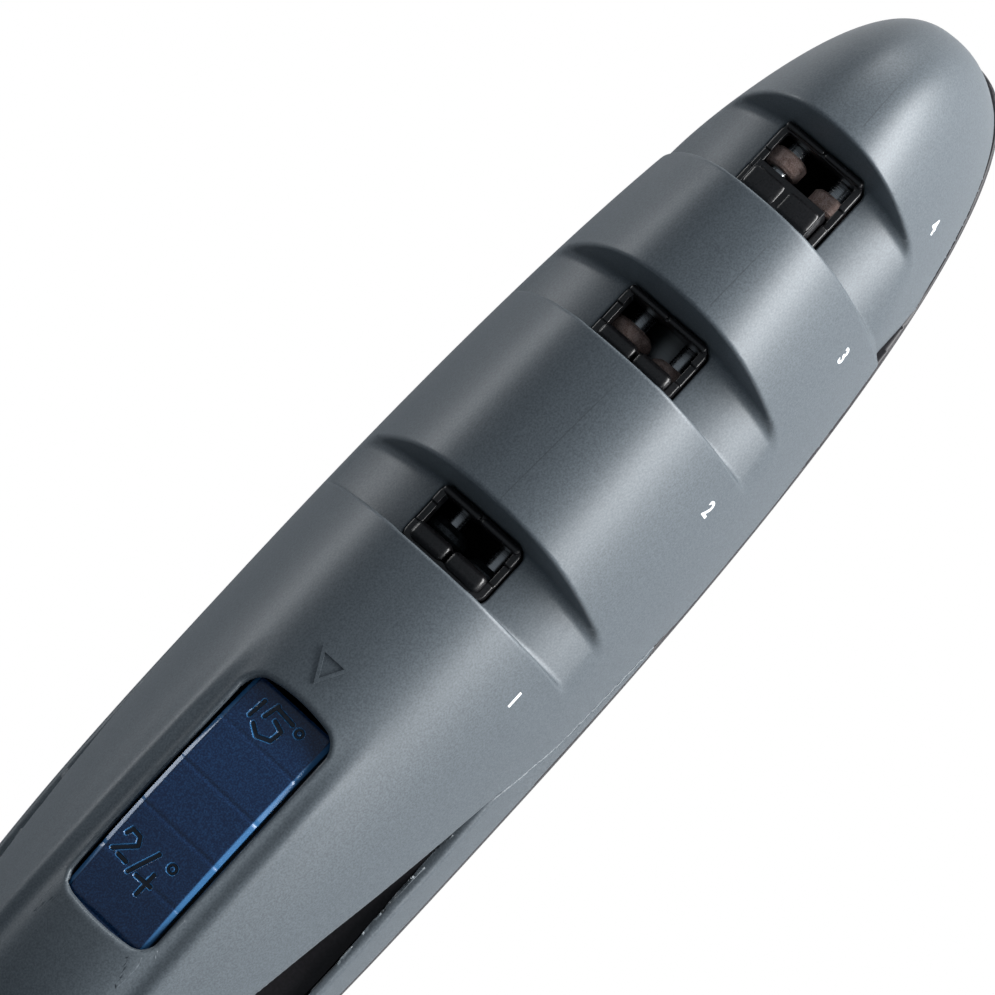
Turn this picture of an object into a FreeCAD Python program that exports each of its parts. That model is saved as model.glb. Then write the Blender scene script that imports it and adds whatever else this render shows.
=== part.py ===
import FreeCAD, Part
import Sketcher
import math
import os
import re

# Electric knife sharpener with three slots, a loop handle and an angle dial.
# Frame: +X to the nose, +Y to the left side, +Z up, origin under the middle of the base.

doc = FreeCAD.newDocument("knife_sharpener")
sheet = doc.addObject("Spreadsheet::Sheet", "sizes")
worked_out = doc.addObject("Spreadsheet::Sheet", "worked_out")

SIZES = {
    # Overall form
    "nose_end": 142.5,
    "tail_end": 145.0,
    "half_width": 34.0,
    "top_height": 55.0,
    "widest_back": 20.0,
    "highest_back": 10.0,
    "wall": 2.4,
    "base_bottom": 1.0,
    "base_floor": 1.8,
    "base_top": 6.0,
    "base_lip": 1.4,
    # Knife slots
    "coarse_rear": 1.5,
    "coarse_front": 16.3,
    "coarse_floor": 42.0,
    "coarse_radius": 35.0,
    "fine_rear": 50.6,
    "fine_front": 65.2,
    "fine_floor": 41.0,
    "fine_radius": 32.3,
    "scissors_rear": 88.0,
    "scissors_front": 106.8,
    "scissors_floor": 37.6,
    "scissors_radius": 26.8,
    "slot_lean": 2.0,
    "well_half": 9.8,
    "well_corner": 2.2,
    # Collars in the slots
    "collar_gap": 0.3,
    "collar_wall": 1.4,
    "collar_rise": 1.5,
    "coarse_collar": 5.4,
    "fine_collar": 5.4,
    "scissors_collar": 3.3,
    "blade_notch": 4.4,
    "guide_half": 7.7,
    "guide_depth": 7.6,
    "guide_gap": 0.6,
    "guide_rise": 4.4,
    # Dial
    "dial_radius": 130.0,
    "dial_middle": -58.0,
    "dial_crown": 53.0,
    "dial_relief": 0.4,
    "dial_thick": 3.0,
    "dial_half": 9.2,
    "dial_pitch": 10.0,
    "window_half": 9.9,
    "window_front": -33.6,
    "window_rear": -82.4,
    "window_bow": 1.4,
    "window_corner": 2.6,
    # Finger opening
    "liner_wall": 2.0,
    "opening_round": 3.0,
    # Drive
    "spindle_height": 31.5,
    "spindle_side": 5.5,
    "spindle_radius": 2.0,
    "spindle_rear": -7.0,
    "spindle_front": 104.0,
    "bore_clearance": 0.05,
    "gear_module": 0.8,
    "gear_backlash": 0.1,
    "gear_width": 4.0,
    "pinion_width": 12.0,
    "gear_plane": 27.0,
    "wheel_radius": 5.0,
    "scissors_wheel_radius": 3.8,
    "wheel_width": 3.6,
    "wheel_offset": 1.4,
    "motor_radius": 10.5,
    "motor_rear": 44.0,
    "motor_length": 46.0,
    "plate_thick": 3.0,
    "rear_plate": -4.6,
    "front_plate": 81.0,
    # Angle link
    "link_side": 13.6,
    "link_thick": 2.0,
    "link_low": 31.0,
    "link_high": 34.0,
    "link_rear": -52.0,
    "fork_place": 20.0,
    # Switch, board, socket and feet
    "button_rear": -60.0,
    "button_length": 16.0,
    "button_half": 5.0,
    "button_stands": 2.4,
    "button_travel": 2.0,
    "socket_height": 20.0,
    "socket_radius": 4.8,
    "socket_bore": 2.75,
    "socket_depth": 9.0,
    "socket_face": -141.4,
    "socket_length": 11.0,
    "foot_radius": 5.0,
    "foot_side": 17.0,
}
for row, (alias, value) in enumerate(SIZES.items(), start=1):
    sheet.set("A%d" % row, alias)
    sheet.set("B%d" % row, repr(value))
    sheet.setAlias("B%d" % row, alias)
doc.recompute()


def size(alias):
    return float(sheet.get(alias))


def formula(text):
    return re.sub(r"[a-z][a-z_]*", lambda word: "sizes." + word.group(0), text)


def bind(thing, prop, text):
    thing.setExpression(prop, formula(text))


nodes = []


def keep(thing, label):
    thing.Label = label
    nodes.append(thing)
    return thing


# Primitives whose sizes are formulas on the sheet

def block(name, x, y, z):
    thing = doc.addObject("Part::Box", name)
    for prop, place, (low, high) in (("Length", "x", x), ("Width", "y", y), ("Height", "z", z)):
        bind(thing, prop, "(%s) - (%s)" % (high, low))
        bind(thing, "Placement.Base." + place, low)
    return thing


TURN = {
    "x": FreeCAD.Rotation(FreeCAD.Vector(0, 1, 0), 90),
    "y": FreeCAD.Rotation(FreeCAD.Vector(1, 0, 0), -90),
    "z": FreeCAD.Rotation(),
}


def rod(name, radius, length, along, x, y, z):
    thing = doc.addObject("Part::Cylinder", name)
    thing.Placement = FreeCAD.Placement(FreeCAD.Vector(), TURN[along])
    bind(thing, "Radius", radius)
    bind(thing, "Height", length)
    for place, text in (("x", x), ("y", y), ("z", z)):
        bind(thing, "Placement.Base." + place, text)
    return thing


def joined(name, parts):
    thing = doc.addObject("Part::MultiFuse", name)
    thing.Shapes = parts
    return thing


def cut(name, base, tools):
    thing = doc.addObject("Part::Cut", name)
    thing.Base = base
    thing.Tool = tools[0] if len(tools) == 1 else joined(name + "_tools", tools)
    return thing


def common(name, first, second):
    thing = doc.addObject("Part::Common", name)
    thing.Base = first
    thing.Tool = second
    return thing


def solid(name, shape):
    thing = doc.addObject("Part::Feature", name)
    thing.Shape = shape
    return thing


# Sketched bodies

PLANES = {"XY": "XY_Plane", "XZ": "XZ_Plane", "YZ": "YZ_Plane"}


def sketch(body, plane, corners, offset=None):
    drawing = body.newObject("Sketcher::SketchObject", body.Name + "_profile")
    origin = [item for item in body.Origin.OriginFeatures if item.Role == PLANES[plane]][0]
    drawing.AttachmentSupport = [(origin, "")]
    drawing.MapMode = "FlatFace"
    if offset is not None:
        bind(drawing, "AttachmentOffset.Base.z", offset)
    doc.recompute()
    count = len(corners)
    spots = [(value_of(across), value_of(up)) for across, up in corners]
    for index in range(count):
        start = FreeCAD.Vector(*spots[index], 0)
        end = FreeCAD.Vector(*spots[(index + 1) % count], 0)
        drawing.addGeometry(Part.LineSegment(start, end), False)
    for index in range(count):
        following = (index + 1) % count
        drawing.addConstraint(Sketcher.Constraint("Coincident", index, 2, following, 1))
    for index, pair in enumerate(corners):
        for kind, text, number in zip(("DistanceX", "DistanceY"), pair, spots[index]):
            place = drawing.addConstraint(Sketcher.Constraint(kind, -1, 1, index, 1, number))
            if isinstance(text, str):
                drawing.setExpression("Constraints[%d]" % place, formula(text))
    return drawing


def value_of(text):
    if not isinstance(text, str):
        return float(text)
    worked_out.set("A1", "=" + formula(text))
    worked_out.recompute()
    return float(worked_out.get("A1"))


def padded(label, plane, corners, length, offset=None, middle=False):
    body = doc.addObject("PartDesign::Body", label)
    drawing = sketch(body, plane, corners, offset)
    pad = body.newObject("PartDesign::Pad", label + "_pad")
    pad.Profile = drawing
    bind(pad, "Length", length)
    pad.Midplane = middle
    return body


def turned(label, corners, x, y, z):
    body = doc.addObject("PartDesign::Body", label)
    drawing = sketch(body, "XZ", corners)
    turn = body.newObject("PartDesign::Revolution", label + "_turn")
    turn.Profile = drawing
    turn.ReferenceAxis = (drawing, ["H_Axis"])
    turn.Angle = 360
    for place, text in (("x", x), ("y", y), ("z", z)):
        bind(body, "Placement.Base." + place, text)
    return body


# Outer form: an arched section whose width and height swell and fade along the length

ACROSS_POWER = 2.4
UP_POWER = 1.65
PLAN_POWERS = {"nose": (2.1, 2.7), "tail": (3.2, 3.2)}
PROFILE_POWERS = {"nose": (6.5, 2.8), "tail": (5.0, 2.2)}
STATION_ANGLES = [0, 18, 36, 50, 62, 72, 80, 85.5, 89]
SECTION_STEPS = 12


def fade(x, middle, inset, lip, powers):
    end = "nose" if x >= middle else "tail"
    span = size("nose_end") + lip - inset - middle if end == "nose" else size("tail_end") - inset + middle
    share = min(abs(x - middle) / span, 1.0)
    power, root = powers[end]
    return (1.0 - share ** power) ** (1.0 / root)


def half_width_at(x, inset=0.0, lip=0.0):
    return (size("half_width") - inset) * fade(x, -size("widest_back"), inset, lip, PLAN_POWERS)


def height_at(x, inset=0.0, lip=0.0):
    return (size("top_height") - inset) * fade(x, -size("highest_back"), inset, lip, PROFILE_POWERS)


def section(x, inset, lip):
    width = half_width_at(x, inset, lip)
    height = height_at(x, inset, lip)
    points = []
    for step in range(SECTION_STEPS + 1):
        angle = math.pi * step / SECTION_STEPS
        side = math.copysign(abs(math.cos(angle)) ** (2.0 / ACROSS_POWER), math.cos(angle))
        rise = abs(math.sin(angle)) ** (2.0 / UP_POWER)
        points.append(FreeCAD.Vector(x, width * side, height * rise if 0 < step < SECTION_STEPS else 0.0))
    arch = Part.BSplineCurve()
    arch.interpolate(Points=points, Parameters=[step / SECTION_STEPS for step in range(SECTION_STEPS + 1)])
    floor = Part.LineSegment(points[-1], points[0])
    return Part.Wire([arch.toShape(), floor.toShape()])


def form(inset, lip=0.0):
    stations = []
    start = -size("widest_back")
    for angle in reversed(STATION_ANGLES[1:]):
        stations.append(start - (size("tail_end") - inset + start) * math.sin(math.radians(angle)))
    for angle in STATION_ANGLES:
        stations.append(start + (size("nose_end") + lip - inset - start) * math.sin(math.radians(angle)))
    return Part.makeLoft([section(x, inset, lip) for x in stations], True, False)


outer_form = solid("outer_form", form(0.0))
inner_form = solid("inner_form", form(size("wall")))
lipped_form = solid("lipped_form", form(0.0, size("base_lip")))

# Finger opening under the handle, drawn in the side view

OPENING = [(-21.0, 18.0), (-75.0, 34.0), (-112.0, 34.0), (-126.0, 25.0), (-120.0, 13.5), (-66.0, 14.0)]
WIDE = 60.0


def side_prism(face, half=WIDE):
    moved = face.copy()
    moved.translate(FreeCAD.Vector(0, half, 0))
    return moved.extrude(FreeCAD.Vector(0, -2 * half, 0))


def side_face(points):
    corners = [FreeCAD.Vector(x, 0, z) for x, z in points]
    return Part.Face(Part.makePolygon(corners + corners[:1]))


def grown(face, distance):
    return Part.Face(face.OuterWire.makeOffset2D(distance))


opening_core = grown(side_face(OPENING), -size("opening_round"))
opening_tip = side_face([OPENING[0], OPENING[1], OPENING[-1]])


def opening_prism(more):
    rounded = side_prism(grown(opening_core, size("opening_round") + more))
    tip = side_prism(grown(opening_tip, more) if more else opening_tip)
    return rounded.fuse(tip).removeSplitter()


opening = solid("opening", opening_prism(0.0))
liner_block = solid("liner_block", opening_prism(size("liner_wall")))

# Skirt band under the opening, which tapers out on the sides in front of it

SKIRT = [(27.0, 0.0), (27.0, 6.0), (-6.0, 12.0), (-21.0, 18.0), (-75.0, 24.0), (-112.0, 24.0), (-126.0, 25.0),
         (-150.0, 25.0), (-150.0, 0.0)]
skirt_block = solid("skirt_block", side_prism(side_face(SKIRT)))

# Slots: a planed rear wall, a leaning front wall and a floor that is round across the body

STAGES = ("coarse", "fine", "scissors")


def slot_block(stage, grow):
    rear = size(stage + "_rear") - grow
    front = size(stage + "_front") + grow
    lean = size("slot_lean")
    radius = size(stage + "_radius") - grow
    centre = size(stage + "_floor") - size(stage + "_radius")
    foot = centre
    top = size("top_height") + 10.0
    lip = height_at(size(stage + "_front"))
    deep = size(stage + "_floor")
    slope = lean / (lip - deep)
    points = [(rear, foot), (rear, top), (front + slope * (top - lip), top), (front - lean, deep - grow),
              (front - lean, foot)]
    core = Part.makeCylinder(radius, 300.0, FreeCAD.Vector(-150, 0, centre), FreeCAD.Vector(1, 0, 0))
    return side_prism(side_face(points)).cut(core)


slot_cuts = [solid(stage + "_slot", slot_block(stage, 0.0)) for stage in STAGES]
slot_walls = [solid(stage + "_slot_wall", slot_block(stage, size("wall"))) for stage in STAGES]
cavity = cut("cavity", inner_form, slot_walls)

# Path of the dial, a curved slide whose axis lies across the body and below it
dial_step = math.degrees(size("dial_pitch") / size("dial_radius"))
SETTINGS = 4
FACETS = 8
first_angle = -dial_step * (FACETS - 2.5)
axis_height = size("dial_crown") - size("dial_radius")


def dial_point(radius, angle):
    turn = math.radians(angle)
    return size("dial_middle") + radius * math.sin(turn), axis_height + radius * math.cos(turn)


def arc_strip(low, high, first, last, steps):
    angles = [first + (last - first) * step / steps for step in range(steps + 1)]
    points = [dial_point(high, angle) for angle in angles]
    points += [dial_point(low, angle) for angle in reversed(angles)]
    return points


last_angle = first_angle + dial_step * FACETS
relief_face = side_face(arc_strip(size("dial_radius") - 5.0, size("dial_radius") + size("dial_relief"),
                                  first_angle - 0.4, last_angle + dial_step * (SETTINGS - 1) + 0.4, 3 * FACETS))
relief = solid("dial_relief_block", side_prism(relief_face, size("dial_half") + size("dial_relief")))



def rounded_plug(stage, inset, low, high):
    rear = size(stage + "_rear") + inset
    front = size(stage + "_front") - size("slot_lean") + size("collar_gap") - inset
    half = size("well_half") - inset
    corner = size("well_corner") - inset
    flat = [(rear, -half), (front, -half), (front, half), (rear, half)]
    corners = [FreeCAD.Vector(x, y, low) for x, y in flat]
    sharp = Part.makePolygon(corners + corners[:1])
    rounded = sharp.makeOffset2D(-corner).makeOffset2D(corner) if corner > 0.1 else sharp
    return Part.Face(rounded).extrude(FreeCAD.Vector(0, 0, high - low))


well_cuts = [solid(stage + "_well", rounded_plug(stage, 0.0, size("spindle_height"), size("top_height")))
             for stage in STAGES]


def window_plug():
    low = size("dial_crown") - 8.0
    front, rear, half, bow = size("window_front"), size("window_rear"), size("window_half"), size("window_bow")
    spots = [FreeCAD.Vector(x, y, low) for x, y in ((front, -half), (front + bow, 0), (front, half), (rear, half),
                                                    (rear - bow, 0), (rear, -half))]
    edges = [Part.Arc(spots[0], spots[1], spots[2]).toShape(), Part.makeLine(spots[2], spots[3]),
             Part.Arc(spots[3], spots[4], spots[5]).toShape(), Part.makeLine(spots[5], spots[0])]
    corner = size("window_corner")
    outline = Part.Wire(edges).makeOffset2D(-corner).makeOffset2D(corner)
    return Part.Face(outline).extrude(FreeCAD.Vector(0, 0, size("top_height") + 5.0 - low))


window = solid("dial_window", window_plug())
socket_hole = rod("socket_hole", "socket_radius + collar_gap", "14", "x", "-tail_end - 2", "0", "socket_height")
above_base = block("above_base", ("-tail_end - 5", "nose_end + 5"), ("-half_width - 5", "half_width + 5"),
                   ("base_top", "top_height + 5"))
walls = cut("walls", common("body_above", outer_form, above_base),
            [cavity, opening, window, relief, socket_hole] + slot_cuts + well_cuts)
keep(cut("upper_shell", walls, [skirt_block]), "upper_shell")
keep(common("skirt_band", walls, skirt_block), "skirt_band")

# Base tray
below_top = block("below_top", ("-tail_end - 5", "nose_end + 5"), ("-half_width - 5", "half_width + 5"),
                  ("base_bottom", "base_top"))
tray_room = block("tray_room", ("-tail_end - 5", "nose_end + 5"), ("-half_width - 5", "half_width + 5"),
                  ("base_bottom + base_floor", "base_top + 5"))
keep(cut("base_housing", common("base_block", lipped_form, below_top),
         [common("tray_hollow", inner_form, tray_room)]), "base_housing")

# Liner of the finger opening, in an upper and a lower half
lower_half = solid("lower_half", side_prism(side_face([(-13.0, 0.0), (-13.0, 19.0), (-21.0, 19.0), (-126.0, 25.0),
                                                      (-150.0, 25.0), (-150.0, 0.0)])))
button_hole = block("button_hole", ("button_rear - 0.3", "button_rear + button_length + 0.3"),
                    ("-button_half - 0.3", "button_half + 0.3"), ("20", "34"))
tunnel = cut("tunnel", common("tunnel_block", liner_block, inner_form), [opening])
keep(cut("handle_liner", tunnel, [lower_half, button_hole]), "handle_liner")
keep(common("rail_cover", tunnel, lower_half), "rail_cover")

# Collars: low walls round each well, crowned like the floor and notched for the blade
for stage in STAGES:
    collar_foot = size(stage + "_floor") + size("collar_rise") - size(stage + "_collar")
    rim = common(stage + "_rim",
                 solid(stage + "_collar_block",
                       rounded_plug(stage, size("collar_gap"), collar_foot, size("top_height"))),
                 rod(stage + "_crown", stage + "_radius + collar_rise", "60", "x", stage + "_rear - 20", "0",
                     stage + "_floor - " + stage + "_radius"))
    well = solid(stage + "_collar_well",
                 rounded_plug(stage, size("collar_gap") + size("collar_wall"), collar_foot - 1.0,
                              size("top_height")))
    middle = "(%s_rear + %s_front - slot_lean + collar_gap) / 2" % (stage, stage)
    notch = block(stage + "_notch", (middle + " - blade_notch / 2", middle + " + blade_notch / 2"),
                  ("-well_half - 5", "well_half + 5"), (stage + "_floor - 0.6", "top_height"))
    keep(cut("collar_" + stage, rim, [well, notch]), "collar_" + stage)

# Scissors guide block, which bridges the rear of the third collar
keep(block("scissors_guide", ("scissors_rear + collar_gap + collar_wall", "scissors_rear + guide_depth"),
           ("-guide_half", "guide_half"),
           ("spindle_height + scissors_wheel_radius + guide_gap", "scissors_floor + guide_rise")),
     "scissors_guide")

# Dial: a curved slide with one flat facet for each setting
dial_low = size("dial_radius") - size("dial_thick")
dial = padded("angle_dial", "XZ", arc_strip(dial_low, size("dial_radius"), first_angle, last_angle, FACETS),
              "2 * dial_half", middle=True)
keep(dial, "angle_dial")

# Cradle that carries the dial, open in the middle
cradle_high = dial_low - 0.35
cradle_low = cradle_high - 2.2
cradle_last = last_angle + dial_step * (SETTINGS - 1) - 1.5
cradle_strip = padded("cradle_strip", "XZ",
                      arc_strip(cradle_low, cradle_high, first_angle - 0.5, cradle_last, 2 * FACETS),
                      "2 * dial_half + 1", middle=True)
cradle_gap = block("cradle_gap", ("dial_middle - 44", "dial_middle + 42"), ("-5.5", "5.5"), ("20", "top_height"))
cradle_trim = common("cradle_trim", cut("cradle_frame", cradle_strip, [cradle_gap]), inner_form)
keep(cut("dial_cradle", cradle_trim, [liner_block]), "dial_cradle")

# Angle link: a bar on the left side with a fork round the left spindle and a tab up to the dial
link_bar = block("link_bar", ("link_rear", "fork_place + link_thick"), ("link_side", "link_side + link_thick"),
                 ("link_low", "link_high"))
link_fork = block("link_fork", ("fork_place", "fork_place + link_thick"),
                  ("spindle_side - 3.2", "link_side + link_thick"),
                  ("spindle_height - 3.4", "spindle_height + 3.4"))
fork_hole = rod("fork_hole", "spindle_radius + 0.3", "20", "x", "fork_place - 8", "spindle_side", "spindle_height")
fork_mouth = block("fork_mouth", ("fork_place - 1", "fork_place + link_thick + 1"),
                   ("spindle_side - 4", "spindle_side"),
                   ("spindle_height - spindle_radius - 0.3", "spindle_height + spindle_radius + 0.3"))
link_tab = block("link_tab", ("link_rear", "link_rear + 6"), ("link_side", "link_side + link_thick"),
                 ("link_low", "dial_crown - dial_thick - 14"))
keep(cut("angle_link", joined("link_body", [link_bar, link_fork, link_tab]), [fork_hole, fork_mouth]), "angle_link")

# Gears: involute teeth, the two spindle gears side by side on one wide pinion
PINION_TEETH = 25
SPINDLE_TEETH = 20
PRESSURE_ANGLE = math.radians(20)
FLANK_STEPS = 3


def gear_corners(teeth, phase):
    module = size("gear_module")
    pitch = module * teeth / 2
    base = pitch * math.cos(PRESSURE_ANGLE)
    tip = pitch + 0.85 * module
    root = pitch - 1.15 * module
    half = math.pi / (2 * teeth) - size("gear_backlash") / (2 * pitch)
    pitch_roll = math.tan(PRESSURE_ANGLE) - PRESSURE_ANGLE
    flank = []
    for step in range(FLANK_STEPS + 1):
        radius = max(base, root) + (tip - max(base, root)) * step / FLANK_STEPS
        roll = math.acos(min(base / radius, 1.0))
        flank.append((radius, half + pitch_roll - (math.tan(roll) - roll)))
    if root < base:
        flank.insert(0, (root, flank[0][1]))
    corners = []
    for tooth in range(teeth):
        middle = phase + 2 * math.pi * tooth / teeth
        sides = [(radius, middle - angle) for radius, angle in flank]
        sides += [(radius, middle + angle) for radius, angle in reversed(flank)]
        corners += [(radius * math.cos(angle), radius * math.sin(angle)) for radius, angle in sides]
    return corners


centre_distance = size("gear_module") * (PINION_TEETH + SPINDLE_TEETH) / 2 + 0.1
motor_height = size("spindle_height") - math.sqrt(centre_distance ** 2 - size("spindle_side") ** 2)


def gear(label, teeth, phase, bore, start, width, y, z):
    outline = [FreeCAD.Vector(start, y + a, z + b) for a, b in gear_corners(teeth, phase)]
    blank = Part.Face(Part.makePolygon(outline + outline[:1])).extrude(FreeCAD.Vector(width, 0, 0))
    hole = Part.makeCylinder(bore, width, FreeCAD.Vector(start, y, z), FreeCAD.Vector(1, 0, 0))
    return keep(solid(label, blank.cut(hole)), label)


MOTOR_SHAFT = 1.6
gear("motor_pinion", PINION_TEETH, 0.0, MOTOR_SHAFT, size("gear_plane") - 0.5, size("pinion_width"), 0.0,
     motor_height)
for side, sign, start in (("right", -1, size("gear_plane")), ("left", 1, size("gear_plane") + 5.6)):
    line = math.atan2(size("spindle_height") - motor_height, sign * size("spindle_side"))
    phase = line + math.pi + (math.pi + PINION_TEETH * line) / SPINDLE_TEETH
    gear("spindle_gear_" + side, SPINDLE_TEETH, phase, size("spindle_radius"), start, size("gear_width"),
         sign * size("spindle_side"), size("spindle_height"))

# Spindles, with thrust rings for the fork on the left one
for side, sign in (("right", "-"), ("left", "")):
    shaft = rod("shaft_" + side, "spindle_radius", "spindle_front - spindle_rear", "x", "spindle_rear",
                sign + "spindle_side", "spindle_height")
    if side == "left":
        rings = [rod("ring_rear", "spindle_radius + 1.6", "1.6", "x", "fork_place - 0.4 - 1.6", "spindle_side",
                     "spindle_height"),
                 rod("ring_front", "spindle_radius + 1.6", "1.6", "x", "fork_place + link_thick + 0.4",
                     "spindle_side", "spindle_height")]
        shaft = joined("shaft_with_rings", [shaft] + rings)
    keep(shaft, "spindle_" + side)

# Grinding wheels: a double cone, a barrel and a small drum, each pair offset along the spindles
PROFILES = {
    "coarse": [(0.0, 0.72), (0.35, 1.0), (0.65, 1.0), (1.0, 0.72)],
    "fine": [(0.0, 0.76), (0.2, 0.93), (0.5, 1.0), (0.8, 0.93), (1.0, 0.76)],
    "scissors": [(0.0, 0.86), (0.15, 1.0), (0.85, 1.0), (1.0, 0.86)],
}
for stage in STAGES:
    radius = "scissors_wheel_radius" if stage == "scissors" else "wheel_radius"
    middle = "(%s_rear + %s_front - slot_lean + collar_gap) / 2" % (stage, stage)
    if stage == "scissors":
        middle = "scissors_front - slot_lean - collar_wall - 3.6"
    for side, sign in (("right", "-"), ("left", "+")):
        corners = [("0", "spindle_radius")]
        corners += [("%g * wheel_width" % along, "%g * %s" % (share, radius)) for along, share in PROFILES[stage]]
        corners += [("wheel_width", "spindle_radius")]
        wheel = turned("wheel_%s_%s" % (stage, side), corners,
                       "%s %s wheel_offset / 2 - wheel_width / 2 - 0.6" % (middle, sign),
                       ("-" if side == "right" else "") + "spindle_side", "spindle_height")
        keep(wheel, wheel.Name)

# Motor, its shaft and the plates that carry the drive
motor_z = repr(round(motor_height, 4))
can = rod("can_body", "motor_radius", "motor_length", "x", "motor_rear", "0", motor_z)
boss = rod("can_boss", "4", "1.6", "x", "motor_rear - 1.6", "0", motor_z)
shaft_hole = rod("can_hole", "%g + bore_clearance" % MOTOR_SHAFT, "motor_length + 10", "x", "motor_rear - 5", "0",
                 motor_z)
keep(cut("motor_can", joined("can", [can, boss]), [shaft_hole]), "motor_can")
keep(rod("motor_shaft", "%g" % MOTOR_SHAFT, "motor_rear + motor_length + 3 - gear_plane + 2", "x", "gear_plane - 2",
         "0", motor_z), "motor_shaft")


def plate(name, start, half, top):
    slab = padded(name + "_slab", "YZ",
                  [("-" + half, "base_bottom + base_floor"), (half, "base_bottom + base_floor"), (half, "28"),
                   ("spindle_side + 4.5", top), ("-spindle_side - 4.5", top), ("-" + half, "28")],
                  "plate_thick", offset=start)
    bores = [rod("%s_bore_%s" % (name, side), "spindle_radius + bore_clearance", "plate_thick + 4", "x",
                 start + " - 2", sign + "spindle_side", "spindle_height") for side, sign in (("right", "-"),
                                                                                          ("left", ""))]
    return slab, bores


slab, bores = plate("rear_plate_piece", "rear_plate", "11.5", "spindle_height + 5")
keep(cut("rear_bearing_plate", slab, bores), "rear_bearing_plate")
slab, bores = plate("front_plate_piece", "front_plate", "13.5", "spindle_height + 5")
seat = rod("motor_seat", "motor_radius + bore_clearance", "plate_thick + 4", "x", "front_plate - 2", "0", motor_z)
keep(cut("front_bearing_plate", slab, bores + [seat]), "front_bearing_plate")
saddle = padded("saddle_slab", "YZ",
                [("-13", "base_bottom + base_floor"), ("13", "base_bottom + base_floor"), ("13", motor_z),
                 ("-13", motor_z)], "6", offset="motor_rear + 4")
saddle_seat = rod("saddle_seat", "motor_radius + bore_clearance", "20", "x", "motor_rear", "0", motor_z)
keep(cut("motor_saddle", saddle, [saddle_seat]), "motor_saddle")

# Power button and its switch
button_cap = block("button_cap", ("button_rear", "button_rear + button_length"), ("-button_half", "button_half"),
                   ("25.2", "31.6"))
keep(button_cap, "power_button")
switch_block = block("switch_block", ("button_rear - 3", "button_rear + button_length + 3"),
                     ("-button_half - 2", "button_half + 2"), ("26", "38.5"))
switch_room = block("switch_room", ("button_rear - 0.6", "button_rear + button_length + 0.6"),
                    ("-button_half - 0.6", "button_half + 0.6"), ("20", "31.6 + button_travel + 0.3"))
keep(cut("switch_body", switch_block, [switch_room, liner_block]), "switch_body")

# Circuit board in the rail, power socket in the tail
keep(block("circuit_board", ("-112", "-72"), ("-15", "15"), ("6.2", "7.8")), "circuit_board")
pillars = [block("board_post_%d_%d" % (a, b), ("%g" % (x - 2), "%g" % (x + 2)), ("%g" % (y - 2), "%g" % (y + 2)),
                 ("base_bottom + base_floor", "6.2"))
           for a, x in enumerate((-109, -75)) for b, y in enumerate((-12, 12))]
keep(joined("board_posts", pillars), "board_posts")
jack = rod("jack", "socket_radius", "socket_length", "x", "socket_face", "0", "socket_height")
jack_bore = rod("jack_bore", "socket_bore", "socket_depth", "x", "socket_face", "0", "socket_height")
keep(cut("inlet_socket", jack, [jack_bore]), "inlet_socket")

# Rubber feet
FOOT_PLACES = [(105.0, -1), (105.0, 1), (-115.0, -1), (-115.0, 1)]
feet = [rod("foot_%d" % index, "foot_radius", "base_bottom", "z", "%g" % x, "%g * foot_side" % side, "0")
        for index, (x, side) in enumerate(FOOT_PLACES)]
foot_group = doc.addObject("Part::Compound", "rubber_feet")
foot_group.Links = feet
keep(foot_group, "rubber_feet")

doc.recompute()
broken = [thing.Name for thing in doc.Objects if "Invalid" in thing.State or "Error" in thing.State]
if broken:
    raise SystemExit("failed objects: " + ", ".join(broken))
for thing in nodes:
    if thing.Shape.isNull() or not thing.Shape.isValid():
        raise SystemExit("bad shape: " + thing.Label)
os.makedirs("parts", exist_ok=True)
for thing in nodes:
    thing.Shape.exportStep("parts/%s.step" % thing.Label)
    box = thing.Shape.BoundBox
    print("%-22s solids %d volume %9.1f  x %7.1f %7.1f  y %6.1f %6.1f  z %5.1f %5.1f" % (
        thing.Label, len(thing.Shape.Solids), thing.Shape.Volume, box.XMin, box.XMax, box.YMin, box.YMax,
        box.ZMin, box.ZMax))
print("motor height %.4f" % motor_height, "nodes", len(nodes))
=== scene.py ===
# %% [markdown]
# An electric knife sharpener, shown as a finished product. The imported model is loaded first, because
# every visual piece takes its place from it.
# %% Load the frame
import bpy
import bmesh
import math
import numpy as np
from mathutils import Matrix, Vector


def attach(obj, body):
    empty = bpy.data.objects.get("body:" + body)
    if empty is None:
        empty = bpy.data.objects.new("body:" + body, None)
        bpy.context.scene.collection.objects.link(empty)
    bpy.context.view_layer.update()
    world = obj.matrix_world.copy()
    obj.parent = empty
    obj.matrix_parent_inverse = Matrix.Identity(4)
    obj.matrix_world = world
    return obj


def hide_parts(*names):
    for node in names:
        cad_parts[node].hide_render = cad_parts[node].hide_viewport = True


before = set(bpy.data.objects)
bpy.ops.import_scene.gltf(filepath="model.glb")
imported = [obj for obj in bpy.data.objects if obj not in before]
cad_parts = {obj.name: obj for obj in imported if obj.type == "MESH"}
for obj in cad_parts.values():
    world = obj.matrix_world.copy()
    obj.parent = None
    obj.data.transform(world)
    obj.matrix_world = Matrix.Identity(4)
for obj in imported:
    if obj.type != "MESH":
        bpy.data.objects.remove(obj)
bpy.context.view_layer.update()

MM = 0.001
scene = bpy.context.scene

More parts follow.
